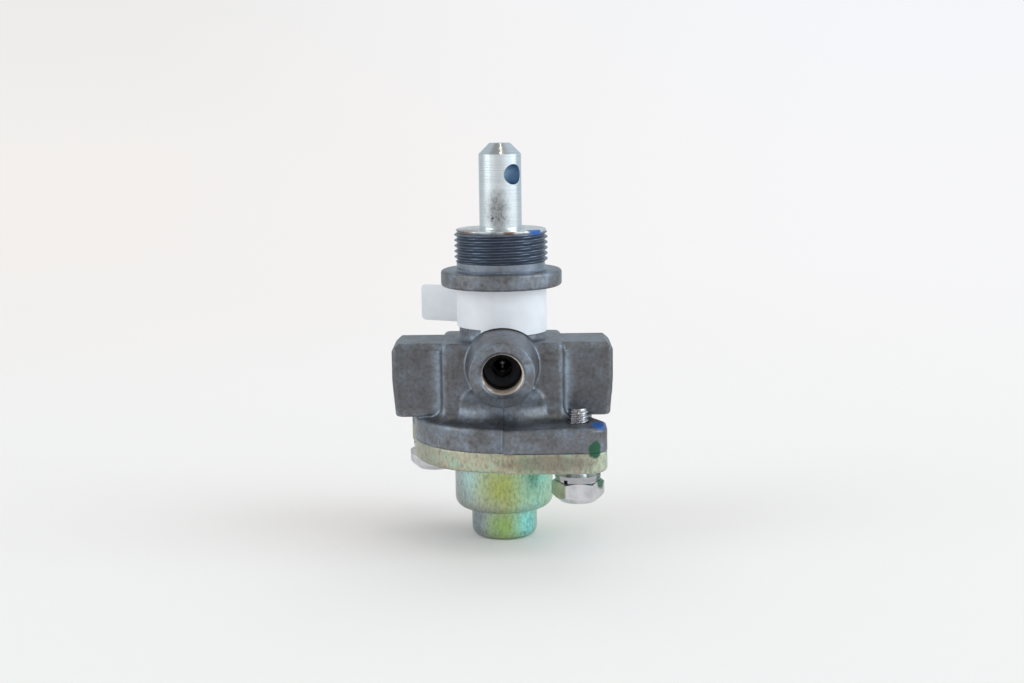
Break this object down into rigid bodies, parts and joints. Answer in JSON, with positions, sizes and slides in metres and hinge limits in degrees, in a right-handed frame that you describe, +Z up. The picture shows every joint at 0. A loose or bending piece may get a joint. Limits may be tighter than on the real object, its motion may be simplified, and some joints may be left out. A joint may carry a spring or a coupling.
{
  "type": "air brake dash control valve",
  "caption": "Push-pull air brake control valve with a threaded panel neck, sprung plunger, side and front pipe ports and a bolted stepped cover.",
  "frame": {"origin": "centre of the flat foot of the lower cover, on the plunger's axis", "axes": "+Z up the plunger and out of the threaded neck, +X out of the delivery port, -X out of the supply port, -Y out of the exhaust port"},
  "size_m": [0.0636, 0.0569, 0.115],
  "materials": {
    "cast_body": "dull grey zinc die casting, blotchy and lightly stained",
    "plated_cover": "zinc casting with an iridescent yellow-green passivated skin",
    "turned_steel": "fine turned bright steel with a grease smudge",
    "seal_rubber": "black moulded nitrile",
    "guide_brass": "turned brass",
    "spring_steel": "plain spring steel",
    "bright_screw": "bright zinc plate",
    "label_film": "plain white film, bare"
  },
  "bodies": {
    "valve": {"valve_body": "cast_body", "lower_cover": "plated_cover", "plunger_guide": "guide_brass", "guide_upper_o_ring": "seal_rubber", "guide_lower_o_ring": "seal_rubber", "guide_snap_ring": "spring_steel", "neck_wiper_ring": "seal_rubber", "return_spring": "spring_steel", "cover_seal_ring": "seal_rubber", "front_cover_screw": "bright_screw", "back_cover_screw": "bright_screw", "front_lock_washer": "bright_screw", "back_lock_washer": "bright_screw", "front_flat_washer": "bright_screw", "back_flat_washer": "bright_screw", "neck_label": "label_film"},
    "seat": {"spring_seat": "spring_steel"},
    "plunger": {"plunger": "turned_steel", "plunger_neck_o_ring": "seal_rubber", "exhaust_land_o_ring": "seal_rubber", "supply_land_o_ring": "seal_rubber", "seat_clip": "spring_steel"}
  },
  "joints": [
    {"name": "plunger_push", "type": "slide", "parent": "valve", "child": "seat", "axis": [0, 0, -1], "range_m": [0, 0.008], "stiffness_N_per_m": 1500, "springref_m": -0.006, "deforming": ["return_spring"]},
    {"name": "plunger_turn", "type": "hinge", "parent": "seat", "child": "plunger", "pos_m": [0, 0, 0.1], "axis": [0, 0, 1], "continuous": true}
  ]
}
